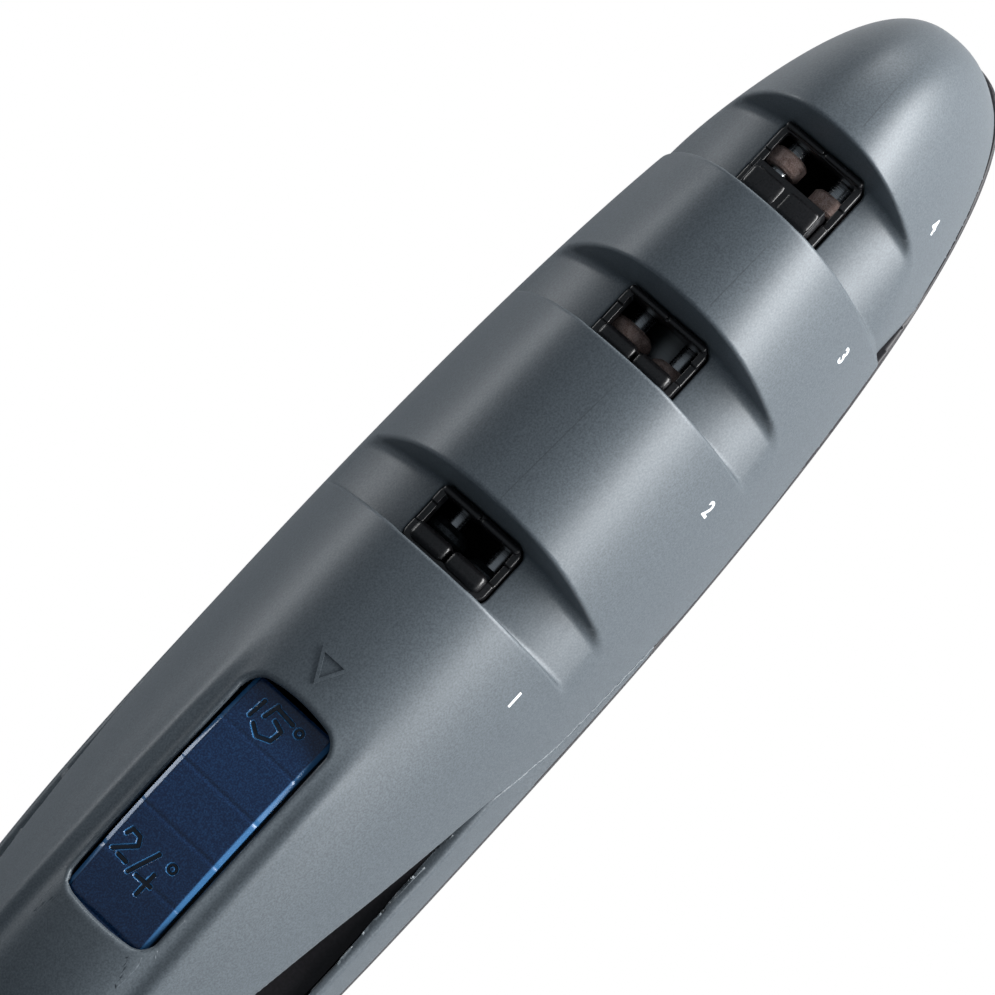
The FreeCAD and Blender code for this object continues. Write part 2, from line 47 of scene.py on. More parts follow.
# %% [markdown]
# The photograph was taken with a long lens from almost straight above, a little to the right side
# and a little to the rear. The camera could be placed by hand. Here it is described by what one would
# measure in a studio, because each of these numbers can be changed without upsetting the others: the
# point it aims at, two small tilts away from the vertical, its roll, and how many pixels a millimetre
# covers there.
# %% What the camera sees
IMAGE_SIDE = 995.0
FOCAL_PIXELS = 4000.0
PIXELS_PER_MM = 5.75
SENSOR_MM = 36.0
aim = Vector((17.0, -1.6, 55.0)) * MM
tilt_along = math.radians(5.5)
tilt_across = math.radians(11.0)
roll = math.radians(47.3)
print("frame is %.0f mm wide at the top of the housing" % (IMAGE_SIDE / PIXELS_PER_MM))

# %% [markdown]
# From the tilts comes the direction the camera looks in, and from the roll which way is right and up
# in the picture. Three rotation angles could say the same, but these directions can be read off the
# photograph one by one.
# %% Camera
look = Vector((math.sin(tilt_along), math.sin(tilt_across), 0.0))
look.z = -math.sqrt(1.0 - look.x ** 2 - look.y ** 2)
length_dir = Vector((1.0, 0.0, 0.0))
length_dir = (length_dir - look * length_dir.dot(look)).normalized()
width_dir = (-look).cross(length_dir)
right_dir = math.cos(roll) * length_dir - math.sin(roll) * width_dir
up_dir = math.sin(roll) * length_dir + math.cos(roll) * width_dir

camera_data = bpy.data.cameras.new("camera")
camera_data.sensor_width = SENSOR_MM
camera_data.lens = FOCAL_PIXELS / IMAGE_SIDE * SENSOR_MM
camera_data.clip_start = 0.01
camera = bpy.data.objects.new("camera", camera_data)
scene.collection.objects.link(camera)
turn = Matrix((right_dir, up_dir, -look)).transposed().to_4x4()
camera.matrix_world = Matrix.Translation(aim - look * (FOCAL_PIXELS / PIXELS_PER_MM * MM)) @ turn
scene.camera = camera
scene.view_settings.view_transform = "Standard"
print("lens %.0f mm, camera %.0f mm up" % (camera_data.lens, camera.location.z / MM))

# %% [markdown]
# Every material below is made of a few nodes. One helper adds a node with its settings, the stops of
# its colour ramp if it has one, and its links. A link is named after the socket, or by its number
# where sockets share a name. Another function turns the hex colours, which are written as a screen
# shows them, to linear light, and a third turns a size on the object into the scale of a pattern.
# %% Helpers for materials
def linear(hex_colour):
    parts = [int(hex_colour[i:i + 2], 16) / 255 for i in (1, 3, 5)]
    return tuple(p / 12.92 if p <= 0.04045 else ((p + 0.055) / 1.055) ** 2.4 for p in parts) + (1.0,)


def add_node(tree, kind, settings=None, stops=(), **links):
    node = tree.nodes.new(kind)
    for name, value in (settings or {}).items():
        if hasattr(node, name):
            setattr(node, name, value)
        else:
            node.inputs[name].default_value = value
    for element, (position, shade) in zip(node.color_ramp.elements if stops else (), stops):
        element.position = position
        element.color = linear(shade)
    for name, source in links.items():
        socket = node.inputs[int(name[1:])] if name[1:].isdigit() else node.inputs[name.replace("_", " ")]
        tree.links.new(source, socket)
    return node


def new_material(name):
    material = bpy.data.materials.new(name)
    material.use_nodes = True
    tree = material.node_tree
    shader = tree.nodes["Principled BSDF"]
    place = add_node(tree, "ShaderNodeTexCoord").outputs["Object"]
    return material, tree, shader, place


def per_metre(millimetres):
    return 1.0 / (millimetres * MM)


print("mid grey in linear light", [round(c, 3) for c in linear("#808080")])


# %% [markdown]
# The housing is ABS moulded in a grey with mica in it: satin, with a fine grain of lighter and darker
# flecks. The real flecks are too fine for the picture, so they are drawn about a third of a
# millimetre wide. A second, finer pattern varies the gloss and the relief, which gives the sparkle.
# Thin darker weld lines, where two streams of plastic met behind each slot, run along the top. They
# are drawn by distance from a line in the plan, because they belong to the colour and not the shape.
# %% Weld lines
WELD_LINES = [(16.5, 50.0, -2.0, -3.5), (66.0, 87.0, -6.0, -6.4), (109.0, 128.0, -3.8, -2.2)]
WELD_CORE, WELD_EDGE = 0.05, 0.16
WELD_STRENGTH = 0.42
WELD_FADE_IN, WELD_FADE_OUT = 2.0, 10.0
WELD_COLOUR = "#2c3034"


def with_weld_line(tree, paint, axes, start, end, side_start, side_end):
    along, across = axes.outputs["X"], axes.outputs["Y"]
    slope = (side_end - side_start) / (end - start)
    line = add_node(tree, "ShaderNodeMath", {"operation": "MULTIPLY_ADD"}, _0=along)
    line.inputs[1].default_value = slope
    line.inputs[2].default_value = (side_start - slope * start) * MM
    off = add_node(tree, "ShaderNodeMath", {"operation": "SUBTRACT"}, _0=across, _1=line.outputs[0])
    far = add_node(tree, "ShaderNodeMath", {"operation": "ABSOLUTE"}, _0=off.outputs[0])
    thin = add_node(tree, "ShaderNodeMapRange", {"From Min": WELD_CORE * MM, "From Max": WELD_EDGE * MM,
                                                 "To Min": WELD_STRENGTH, "To Max": 0.0},
                    Value=far.outputs[0])
    begin = add_node(tree, "ShaderNodeMapRange", {"From Min": start * MM,
                                                  "From Max": (start + WELD_FADE_IN) * MM}, Value=along)
    fading = add_node(tree, "ShaderNodeMapRange", {"From Min": (end - WELD_FADE_OUT) * MM,
                                                   "From Max": end * MM, "To Min": 1.0, "To Max": 0.0},
                      Value=along)
    both = add_node(tree, "ShaderNodeMath", {"operation": "MULTIPLY"}, _0=begin.outputs[0],
                    _1=fading.outputs[0])
    amount = add_node(tree, "ShaderNodeMath", {"operation": "MULTIPLY"}, _0=both.outputs[0],
                      _1=thin.outputs[0])
    mix = add_node(tree, "ShaderNodeMix", {"data_type": "RGBA"}, _0=amount.outputs[0], _6=paint)
    mix.inputs[7].default_value = linear(WELD_COLOUR)
    return mix.outputs[2]


print("weld lines", len(WELD_LINES))

# %% [markdown]
# The plastic under those lines is a mottle of two close greys. Mica flakes are tiny mirrors, so the
# surface is slightly metallic and its highlights are wide and soft. The side band is moulded from
# the same plastic and has no weld lines.
# %% Grey housing plastic
FLECK_MM = 0.36
SPARKLE_MM = 0.28


def mica_abs(name, weld_lines=()):
    material, tree, shader, place = new_material(name)
    flecks = add_node(tree, "ShaderNodeTexNoise", {"Scale": per_metre(FLECK_MM), "Detail": 1.0,
                                                   "Roughness": 0.6}, Vector=place)
    sparkle = add_node(tree, "ShaderNodeTexNoise", {"Scale": per_metre(SPARKLE_MM), "Detail": 1.0},
                       Vector=place)
    mottle = add_node(tree, "ShaderNodeValToRGB", stops=((0.3, "#444b51"), (0.72, "#575f65")),
                      Fac=flecks.outputs["Fac"])
    paint = mottle.outputs["Color"]
    axes = add_node(tree, "ShaderNodeSeparateXYZ", Vector=place)
    for line in weld_lines:
        paint = with_weld_line(tree, paint, axes, *line)
    tree.links.new(paint, shader.inputs["Base Color"])
    satin = add_node(tree, "ShaderNodeMapRange", {"To Min": 0.38, "To Max": 0.5},
                     Value=sparkle.outputs["Fac"])
    tree.links.new(satin.outputs[0], shader.inputs["Roughness"])
    relief = add_node(tree, "ShaderNodeBump", {"Strength": 0.15, "Distance": 0.02 * MM},
                      Height=sparkle.outputs["Fac"])
    tree.links.new(relief.outputs[0], shader.inputs["Normal"])
    shader.inputs["IOR"].default_value = 1.53
    shader.inputs["Metallic"].default_value = 0.12
    return material


housing_grey = mica_abs("mica_grey_abs", WELD_LINES)
band_grey = mica_abs("mica_grey_abs_band")
print("grey plastics 2, flecks", FLECK_MM, "mm")

# %% [markdown]
# The other mouldings come out of moulds whose steel was eroded by sparks, which leaves a fine even
# grain on the plastic. What differs between them is the depth of the colour, the width of the grain,
# how dull the surface is and how deep the grain goes, so one function makes them all. The circuit
# board isn't moulded, but its lacquer has the same kind of mottle.
# %% Spark-eroded mouldings
def spark_eroded(name, dark, light, grain_mm, roughness, grain_depth):
    material, tree, shader, place = new_material(name)
    grain = add_node(tree, "ShaderNodeTexNoise", {"Scale": per_metre(grain_mm), "Detail": 3.0},
                     Vector=place)
    mottle = add_node(tree, "ShaderNodeValToRGB", stops=((0.35, dark), (0.7, light)),
                      Fac=grain.outputs["Fac"])
    tree.links.new(mottle.outputs["Color"], shader.inputs["Base Color"])
    dull = add_node(tree, "ShaderNodeMapRange", {"To Min": roughness - 0.07, "To Max": roughness + 0.07},
                    Value=grain.outputs["Fac"])
    tree.links.new(dull.outputs[0], shader.inputs["Roughness"])
    relief = add_node(tree, "ShaderNodeBump", {"Strength": 0.35, "Distance": grain_depth * MM},
                      Height=grain.outputs["Fac"])
    tree.links.new(relief.outputs[0], shader.inputs["Normal"])
    shader.inputs["IOR"].default_value = 1.5
    return material


# ABS of the base tray: a warm matt black that shows no reflections.
base_black = spark_eroded("fine_matt_black_abs", "#1d1b1e", "#2b292d", 0.35, 0.5, 0.02)
# Nylon of the collars, guides and button: deep black with a satin gleam along every rounded rim.
collar_black = spark_eroded("satin_black_nylon", "#0b0b0c", "#1c1b1d", 0.3, 0.3, 0.03)
# Soft-touch liner of the handle: a dull black that is also painted shade, so the finger opening looks like a
# dark hollow.
liner_black_and_shade = spark_eroded("black_soft_touch_liner", "#141316", "#221f24", 0.5, 0.55, 0.03)
# Glass-filled nylon inside: duller and coarser, because the fibres reach the surface.
inner_black = spark_eroded("black_glass_filled_nylon", "#101011", "#232325", 0.6, 0.6, 0.03)
# Silicone rubber of the feet: no gloss at all.
foot_rubber = spark_eroded("black_silicone_rubber", "#131313", "#1f1f1f", 0.8, 0.8, 0.05)
# Acetal of the gears: a milky white with a slight wax gloss.
gear_acetal = spark_eroded("natural_acetal", "#cfcabd", "#e2ded4", 0.9, 0.4, 0.01)
# Glass laminate of the circuit board: green lacquer, smooth and half glossy.
board_laminate = spark_eroded("green_glass_laminate", "#0f4a2c", "#176b3f", 1.2, 0.35, 0.01)
print("spark-eroded mouldings 7")

# %% [markdown]
# The spindles are ground steel and the motor's can is zinc-plated sheet. Grinding leaves fine lines
# round a shaft, so the noise is stretched across the length, and the lines vary colour and gloss.
# %% Ground and plated metal
def ground_metal(name, dark, light, line_mm, roughness):
    material, tree, shader, place = new_material(name)
    stretched = add_node(tree, "ShaderNodeMapping", Vector=place)
    stretched.inputs["Scale"].default_value = (1.0, 0.12, 0.12)
    lines = add_node(tree, "ShaderNodeTexNoise", {"Scale": per_metre(line_mm), "Detail": 2.0},
                     Vector=stretched.outputs[0])
    sheen = add_node(tree, "ShaderNodeValToRGB", stops=((0.0, dark), (1.0, light)),
                     Fac=lines.outputs["Fac"])
    tree.links.new(sheen.outputs["Color"], shader.inputs["Base Color"])
    polish = add_node(tree, "ShaderNodeMapRange", {"To Min": roughness - 0.06, "To Max": roughness + 0.1},
                      Value=lines.outputs["Fac"])
    tree.links.new(polish.outputs[0], shader.inputs["Roughness"])
    shader.inputs["Metallic"].default_value = 1.0
    return material


spindle_steel = ground_metal("ground_steel", "#8d9093", "#b9bcbe", 0.3, 0.25)
motor_zinc = ground_metal("zinc_plated_steel", "#8f9294", "#a9acad", 0.8, 0.38)
print("metals 2")

# %% [markdown]
# The coarse wheels carry diamond grit held in nickel, a dark glitter on metal. The finer wheels are
# sintered corundum, a pink-brown stone as dull as a brick. Both are grains of about a quarter of a
# millimetre: a cell pattern gives the single grains, and a wide cloud on top gives worn patches.
# %% Bonded grit
CLOUD_MM = 1.6


def bonded_grit(name, dark, middle, light, grit_mm, roughness, metallic):
    material, tree, shader, place = new_material(name)
    grains = add_node(tree, "ShaderNodeTexVoronoi", {"Scale": per_metre(grit_mm)}, Vector=place)
    cloud = add_node(tree, "ShaderNodeTexNoise", {"Scale": per_metre(CLOUD_MM), "Detail": 4.0},
                     Vector=place)
    blend = add_node(tree, "ShaderNodeMath", {"operation": "MULTIPLY_ADD"}, _0=grains.outputs["Distance"],
                     _2=cloud.outputs["Fac"])
    blend.inputs[1].default_value = 0.55
    worn = add_node(tree, "ShaderNodeValToRGB", stops=((0.38, dark), (0.95, light)), Fac=blend.outputs[0])
    worn.color_ramp.elements.new(0.66).color = linear(middle)
    tree.links.new(worn.outputs["Color"], shader.inputs["Base Color"])
    relief = add_node(tree, "ShaderNodeBump", {"Strength": 0.6, "Distance": 0.08 * MM},
                      Height=grains.outputs["Distance"])
    tree.links.new(relief.outputs[0], shader.inputs["Normal"])
    shader.inputs["Roughness"].default_value = roughness
    shader.inputs["Metallic"].default_value = metallic
    return material


diamond_grit = bonded_grit("nickel_bonded_diamond", "#0c0d0e", "#24272a", "#4b5054", 0.22, 0.42, 0.55)
ceramic_stone = bonded_grit("sintered_corundum", "#5c4640", "#937a72", "#b59f97", 0.25, 0.78, 0.0)
print("materials", len(bpy.data.materials))

# %% [markdown]
# The housing is one arched form: its section is a flattened arch, and the arch's width and height
# swell and fade along the length. It could be modelled as a subdivision cage, but the slots would
# then need many supporting edges. The rule that shaped the solid is written here as a field instead,
# negative inside the plastic and positive outside, in millimetres. Fields join with a rounded edge,
# which is how a mould maker breaks every edge, so each slot gets its lip from one number.
# %% The form's width and height along the length
NOSE_END, TAIL_END = 142.5, 144.8
WIDEST_AT, HIGHEST_AT = -20.0, -10.0
HALF_WIDTH, TOP_HEIGHT = 34.0, 54.7
PLAN_POWERS = {"nose": (2.25, 2.9), "tail": (3.2, 3.2)}
PROFILE_POWERS = {"nose": (6.5, 2.8), "tail": (5.0, 2.2)}


def fade(x, middle, powers, lip=0.0):
    ahead = x >= middle
    span = np.where(ahead, NOSE_END + lip - middle, TAIL_END + middle)
    share = np.minimum(np.abs(x - middle) / span, 0.9999)
    power = np.where(ahead, powers["nose"][0], powers["tail"][0])
    root = np.where(ahead, powers["nose"][1], powers["tail"][1])
    return (1.0 - share ** power) ** (1.0 / root)


def half_width_at(x, lip=0.0):
    return HALF_WIDTH * fade(x, WIDEST_AT, PLAN_POWERS, lip)


def height_at(x, lip=0.0):
    return TOP_HEIGHT * fade(x, HIGHEST_AT, PROFILE_POWERS, lip)


print("half width at the slots", [round(float(half_width_at(np.array([x]))[0]), 1) for x in (9, 58, 97)])

# %% [markdown]
# Across the body the section is a flattened arch, and two powers say how square its shoulders are.
# The arch's value divided by its slope is close to a distance in millimetres near the surface, and
# only then can other shapes be joined to it with an edge of a known size.
# %% The arch as a field
ACROSS_POWER, UP_POWER = 2.4, 1.65


def arch(p, lip=0.0):
    return ((np.abs(p[1]) / half_width_at(p[0], lip)) ** ACROSS_POWER
            + (np.maximum(p[2], 0.0) / height_at(p[0], lip)) ** UP_POWER - 1.0)


def gradient(field, p, step=0.02):
    parts = []
    for axis in range(3):
        shift = np.zeros((3, 1))
        shift[axis] = step
        parts.append((field(p + shift) - field(p - shift)) / (2 * step))
    return np.array(parts)


def skin(p):
    slope = np.linalg.norm(gradient(arch, p), axis=0)
    return arch(p) / np.maximum(slope, 1e-4)


def rounded_max(a, b, edge):
    overlap = np.maximum(edge - np.abs(a - b), 0.0)
    return np.maximum(a, b) + overlap * overlap / (4.0 * edge)


print("two faces rounded over 2 mm meet %.1f mm inside their corner" % float(rounded_max(0.0, 0.0, 2.0)))

# %% [markdown]
# Each slot has a straight rear wall, a leaning front wall and a floor that is round across the body,
# so the floor runs out on both sides. The places are those of the collars that sit in the slots.
# %% Knife slots
SLOTS = {
    "coarse": dict(rear=1.5, front=16.3, floor=42.0, radius=35.0),
    "fine": dict(rear=50.6, front=65.2, floor=41.0, radius=32.3),
    "scissors": dict(rear=88.0, front=106.8, floor=37.6, radius=26.8),
}
SLOT_LEAN = 2.0
LIP_ROUND = 0.8
SCOOP_ROUND = 2.0
REAR_ROUND = 1.2


def slot_void(p, slot):
    deep = slot["floor"]
    lip = float(height_at(np.array([slot["front"]]))[0])
    slope = SLOT_LEAN / (lip - deep)
    lean = 1.0 / math.hypot(1.0, slope)
    front = (p[0] - (slot["front"] - SLOT_LEAN + slope * (p[2] - deep))) * lean
    rear = slot["rear"] - p[0]
    floor = slot["radius"] - np.hypot(p[1], p[2] - (deep - slot["radius"]))
    return rounded_max(rounded_max(rear, floor, REAR_ROUND), front, SCOOP_ROUND)


print("slots", {name: "%.1f mm wide" % (slot["front"] - slot["rear"]) for name, slot in SLOTS.items()})

# %% [markdown]
# A well goes down from each slot's floor to the wheels, and the dial shows in a window whose two ends
# bow outwards. Both are upright boxes with rounded corners in the plan.
# %% Wells and dial window
WELL_HALF = 9.8
WELL_CORNER = 2.2
WELL_BOTTOM = 31.5
WELL_PAST_LEAN = 0.3
WINDOW_MIDDLE = -58.0
WINDOW_HALF_LENGTH, WINDOW_HALF_WIDTH = 24.4, 9.9
WINDOW_CORNER = 3.2
WINDOW_FRONT_BOW, WINDOW_REAR_BOW = 1.4, 1.0
WINDOW_BOTTOM = 45.0


def rounded_box(a, b, half_a, half_b, corner):
    over_a = np.abs(a) - half_a + corner
    over_b = np.abs(b) - half_b + corner
    outside = np.hypot(np.maximum(over_a, 0.0), np.maximum(over_b, 0.0))
    return outside + np.minimum(np.maximum(over_a, over_b), 0.0) - corner


def well_void(p, slot):
    low, high = slot["rear"], slot["front"] - SLOT_LEAN + WELL_PAST_LEAN
    plan = rounded_box(p[0] - (low + high) / 2, p[1], (high - low) / 2, WELL_HALF, WELL_CORNER)
    return np.maximum(plan, WELL_BOTTOM - p[2])


def window_void(p):
    bow = 1.0 - np.minimum(np.abs(p[1]) / WINDOW_HALF_WIDTH, 1.0) ** 2
    stretch = np.where(p[0] > WINDOW_MIDDLE, WINDOW_FRONT_BOW * bow, -WINDOW_REAR_BOW * bow)
    plan = rounded_box(p[0] - stretch - WINDOW_MIDDLE, p[1], WINDOW_HALF_LENGTH, WINDOW_HALF_WIDTH,
                       WINDOW_CORNER)
    return np.maximum(plan, WINDOW_BOTTOM - p[2])


print("dial window %.1f by %.1f mm" % (2 * WINDOW_HALF_LENGTH, 2 * WINDOW_HALF_WIDTH))

# %% [markdown]
# The finger opening goes straight through from side to side. In the side view it is a six-sided
# outline with soft corners and one sharp tip that points to the nose, so the rounding of each corner
# shrinks as it nears the tip.
# %% Finger opening
OPENING = [(-21.0, 18.0), (-75.0, 34.0), (-112.0, 34.0), (-126.0, 25.0), (-120.0, 13.5), (-66.0, 14.0)]
OPENING_ROUND = 6.0
TIP_ROUND = 0.6
TIP_STARTS, TIP_LENGTH = -48.0, 20.0


def opening_void(p):
    middle = np.mean(np.array(OPENING), axis=0)
    near_tip = np.clip((p[0] - TIP_STARTS) / TIP_LENGTH, 0.0, 1.0)
    corner = OPENING_ROUND * (1.0 - near_tip) + TIP_ROUND * near_tip
    value = None
    for (xa, za), (xb, zb) in zip(OPENING, OPENING[1:] + OPENING[:1]):
        nx, nz = zb - za, xa - xb
        size = math.hypot(nx, nz)
        nx, nz = nx / size, nz / size
        if (middle[0] - xa) * nx + (middle[1] - za) * nz > 0:
            nx, nz = -nx, -nz
        side = (p[0] - xa) * nx + (p[2] - za) * nz
        value = side if value is None else rounded_max(value, side, corner)
    return value


print("opening corners", len(OPENING))

# %% [markdown]
# The shell and the side band meet in a parting line that climbs from the nose to the tail. A soft
# crease runs back from the dial on both shoulders: a low ridge with a shallow dip beside it, faded in
# behind the pointer.
# %% Parting line and creases
PARTING_LINE = [(-126.0, 25.0), (-112.0, 24.0), (-75.0, 24.0), (-21.0, 18.0), (-6.0, 12.0), (27.0, 6.0),
                (60.0, 0.0)]
PARTING_GAP = 0.03
CREASE_BEGINS, CREASE_FADE_IN = -24.0, 26.0
CREASE_SIDE, CREASE_SIDE_AT, CREASE_SPREAD = 14.3, -31.0, 0.012
CREASE_FLOOR, CREASE_CLIMB = 30.0, 12.0
CREASE_RISE, CREASE_RISE_WIDTH = 0.75, 2.0
CREASE_DIP, CREASE_DIP_WIDTH, CREASE_DIP_INSIDE = 0.35, 1.8, 3.2


def parting_height(x):
    return np.interp(x, [place for place, _ in PARTING_LINE], [height for _, height in PARTING_LINE])


def crease(p):
    along = np.clip((CREASE_BEGINS - p[0]) / CREASE_FADE_IN, 0.0, 1.0)
    begin = along * along * (3 - 2 * along)
    ridge = CREASE_SIDE + CREASE_SPREAD * (CREASE_SIDE_AT - p[0])
    rise = CREASE_RISE * np.exp(-((np.abs(p[1]) - ridge) / CREASE_RISE_WIDTH) ** 2)
    dip = CREASE_DIP * np.exp(-((np.abs(p[1]) - ridge + CREASE_DIP_INSIDE) / CREASE_DIP_WIDTH) ** 2)
    return begin * (rise - dip) * np.clip((p[2] - CREASE_FLOOR) / CREASE_CLIMB, 0.0, 1.0)


print("parting line from %.0f to %.0f mm high" % (PARTING_LINE[-1][1], PARTING_LINE[0][1]))

# %% [markdown]
# The fields above are now put together, one for each moulding: the shell above the parting line, the
# band below it, and the tray, whose sides draw in a little towards the table and whose rim stands out
# round the nose.
# %% Fields of the three mouldings
BASE_TOP, BASE_BOTTOM = 6.0, 1.0
BASE_LIP = 1.4
TRAY_TAPER = 0.9
OPENING_LIP, WELL_LIP, WINDOW_LIP, SEAM_LIP = 1.2, 0.5, 1.3, 0.3
TRAY_TOP_ROUND, TRAY_FOOT_ROUND = 0.5, 1.2


def body_field(p):
    value = skin(p) - crease(p)
    for slot in SLOTS.values():
        value = rounded_max(value, -slot_void(p, slot), LIP_ROUND)
    return rounded_max(value, -opening_void(p), OPENING_LIP)


def shell_field(p):
    value = body_field(p)
    for slot in SLOTS.values():
        value = rounded_max(value, -well_void(p, slot), WELL_LIP)
    value = rounded_max(value, -window_void(p), WINDOW_LIP)
    value = rounded_max(value, parting_height(p[0]) + PARTING_GAP - p[2], SEAM_LIP)
    return rounded_max(value, BASE_TOP + PARTING_GAP - p[2], SEAM_LIP)


def band_field(p):
    value = rounded_max(body_field(p), p[2] - (parting_height(p[0]) - PARTING_GAP), SEAM_LIP)
    return rounded_max(value, BASE_TOP + PARTING_GAP - p[2], SEAM_LIP)


def tray_field(p):
    drawn_in = TRAY_TAPER * np.clip((BASE_TOP - p[2]) / BASE_TOP, 0.0, 1.0)
    side = arch(p, BASE_LIP) * half_width_at(p[0], BASE_LIP) / ACROSS_POWER + drawn_in
    value = rounded_max(side, p[2] - BASE_TOP + 0.02, TRAY_TOP_ROUND)
    return rounded_max(value, BASE_BOTTOM - p[2], TRAY_FOOT_ROUND)


deep_inside = np.array([[30.0], [0.0], [52.5]])
print("a point in the roof lies %.1f mm under the skin" % -float(shell_field(deep_inside)[0]))

# %% [markdown]
# A sculpted piece starts as a copy of its solid. The solid is loose triangles of very different
# sizes, so the copy is merged and remeshed to even small quads. Every point near the field's surface
# is then moved on to it, as a sculptor's brush would, and the mesh is thinned where it is flat.
# %% Even copy of a solid
QUICK_GRID, QUICK_SOFT_GRID = ((1.0, 1.0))


def grid_copy(node, voxel_mm):
    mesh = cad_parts[node].data.copy()
    merged = bmesh.new()
    merged.from_mesh(mesh)
    bmesh.ops.remove_doubles(merged, verts=merged.verts, dist=0.002 * MM)
    merged.to_mesh(mesh)
    merged.free()
    moulding = bpy.data.objects.new(node + "_grid", mesh)
    scene.collection.objects.link(moulding)
    remesh = moulding.modifiers.new("even", "REMESH")
    remesh.mode = "VOXEL"
    remesh.voxel_size = voxel_mm * MM
    return moulding


def settled(moulding):
    view = bpy.context.evaluated_depsgraph_get()
    mesh = bpy.data.meshes.new_from_object(moulding.evaluated_get(view))
    moulding.modifiers.clear()
    moulding.data = mesh
    return mesh


def thinned(moulding, triangles):
    ratio = triangles / (2.0 * len(moulding.data.polygons))
    if ratio < 1.0:
        thin = moulding.modifiers.new("thin", "DECIMATE")
        thin.ratio = ratio
        settled(moulding)
    return moulding.data


def points_of(mesh):
    flat = np.empty(len(mesh.vertices) * 3)
    mesh.vertices.foreach_get("co", flat)
    return flat.reshape(-1, 3).T / MM


print("points of the shell's solid", points_of(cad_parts["upper_shell"].data).shape[1])

# %% [markdown]
# The pull is Newton's method: a point moves by the field's value along the field's slope, and three
# rounds are enough. Points further away than the reach are inner walls and stay. No point leaves the
# solid's own box. The normals are taken from the field too, so a satin surface shows no facets.
# %% Pulling points on to a field
PULL_ROUNDS = 3
BOX_MARGIN = 0.02
FARTHEST = 2.5
SAME_SIDE = 0.3


def moved_on(field, p, rounds):
    for _ in range(rounds):
        value = field(p)
        slope = gradient(field, p)
        p = p - value * slope / np.maximum((slope ** 2).sum(axis=0), 1e-3)
    return p


def pull_to_field(mesh, field, reach, limits):
    p = points_of(mesh)
    near = np.abs(field(p)) < reach
    q = moved_on(field, p[:, near], PULL_ROUNDS)
    keep = np.linalg.norm(q - p[:, near], axis=0) < reach * FARTHEST
    indices = np.nonzero(near)[0][keep]
    p[:, indices] = q[:, keep]
    p = np.clip(p, limits[0], limits[1])
    mesh.vertices.foreach_set("co", (p.T * MM).ravel())
    mesh.update()
    return indices


def field_normals(mesh, field, indices):
    p = points_of(mesh)
    flat = np.empty(len(mesh.vertices) * 3)
    mesh.vertices.foreach_get("normal", flat)
    normals = flat.reshape(-1, 3)
    slope = gradient(field, p[:, indices]).T
    slope /= np.maximum(np.linalg.norm(slope, axis=1, keepdims=True), 1e-6)
    agree = (slope * normals[indices]).sum(axis=1) > SAME_SIDE
    normals[indices[agree]] = slope[agree]
    mesh.shade_smooth()
    mesh.normals_split_custom_set_from_vertices(normals.tolist())


print("rounds of pulling", PULL_ROUNDS)


# %% [markdown]
# The steps follow one another for the shell, the band and the tray: even copy, pull, thinning, a
# second pull, because thinning leaves points beside the surface, and the normals last. The sculpted
# piece then stands for its node and rides on the same body.
# %% Sculpting a piece
def stands_for(piece, name, node, material, body):
    piece.name = piece.data.name = name
    piece.data.materials.clear()
    piece.data.materials.append(material)
    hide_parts(node)
    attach(piece, body)
    print(name, "faces", len(piece.data.polygons))


def sculpted(name, node, field, voxel_mm, triangles, reach, material):
    moulding = grid_copy(node, voxel_mm * QUICK_GRID)
    solid_points = points_of(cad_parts[node].data)
    limits = (solid_points.min(axis=1)[:, None] + BOX_MARGIN, solid_points.max(axis=1)[:, None] - BOX_MARGIN)
    pull_to_field(settled(moulding), field, reach, limits)
    mesh = thinned(moulding, triangles)
    indices = pull_to_field(mesh, field, reach, limits)
    field_normals(mesh, field, indices)
    stands_for(moulding, name, node, material, "root")


# Piece, node, field, grid in mm, triangles, reach in mm, plastic.
sculpted("housing_shell", "upper_shell", shell_field, 0.45, 190000, 1.8, housing_grey)
sculpted("side_band", "skirt_band", band_field, 0.6, 90000, 1.8, band_grey)
sculpted("base_tray", "base_housing", tray_field, 0.8, 90000, 1.6, base_black)

# %% [markdown]
# The black mouldings round the wheels have soft rims, as every moulded edge has. A bevel would trip
# over the many short edges of a solid, so the copy is remeshed to fine even quads and smoothed a few
# times, which rounds each edge by about as much as the smoothing reaches.
# %% Softened black mouldings
SOFT_TRIANGLES = 70000.0
# Piece, node, grid in mm, rounds of smoothing, material, body.
MOULDINGS = [
    ("coarse_surround", "collar_coarse", 0.17, 5, collar_black, "root"),
    ("fine_surround", "collar_fine", 0.17, 5, collar_black, "root"),
    ("scissors_surround", "collar_scissors", 0.17, 5, collar_black, "root"),
    ("scissors_guide_block", "scissors_guide", 0.13, 6, collar_black, "root"),
    ("handle_lining", "handle_liner", 0.5, 2, liner_black_and_shade, "root"),
    ("button_cap", "power_button", 0.2, 4, collar_black, "button"),
    ("socket_moulding", "inlet_socket", 0.2, 3, collar_black, "root"),
]
for name, node, voxel_mm, passes, material, body in MOULDINGS:
    moulding = grid_copy(node, voxel_mm * QUICK_SOFT_GRID)
    soften = moulding.modifiers.new("soften", "SMOOTH")
    soften.factor = 0.5
    soften.iterations = passes
    settled(moulding)
    thinned(moulding, SOFT_TRIANGLES).shade_smooth()
    stands_for(moulding, name, node, material, body)

# %% [markdown]
# Behind the wheels of each slot a black guide keeps the blade straight, and a thin guard stands in
# front of them. Each is moulded in two halves that meet in a thin seam in the middle. A half is a
# block whose edges are rolled over by a bevel of a few segments, which catches the light as a rim.
# %% Guides and guards
SEAM = 0.12
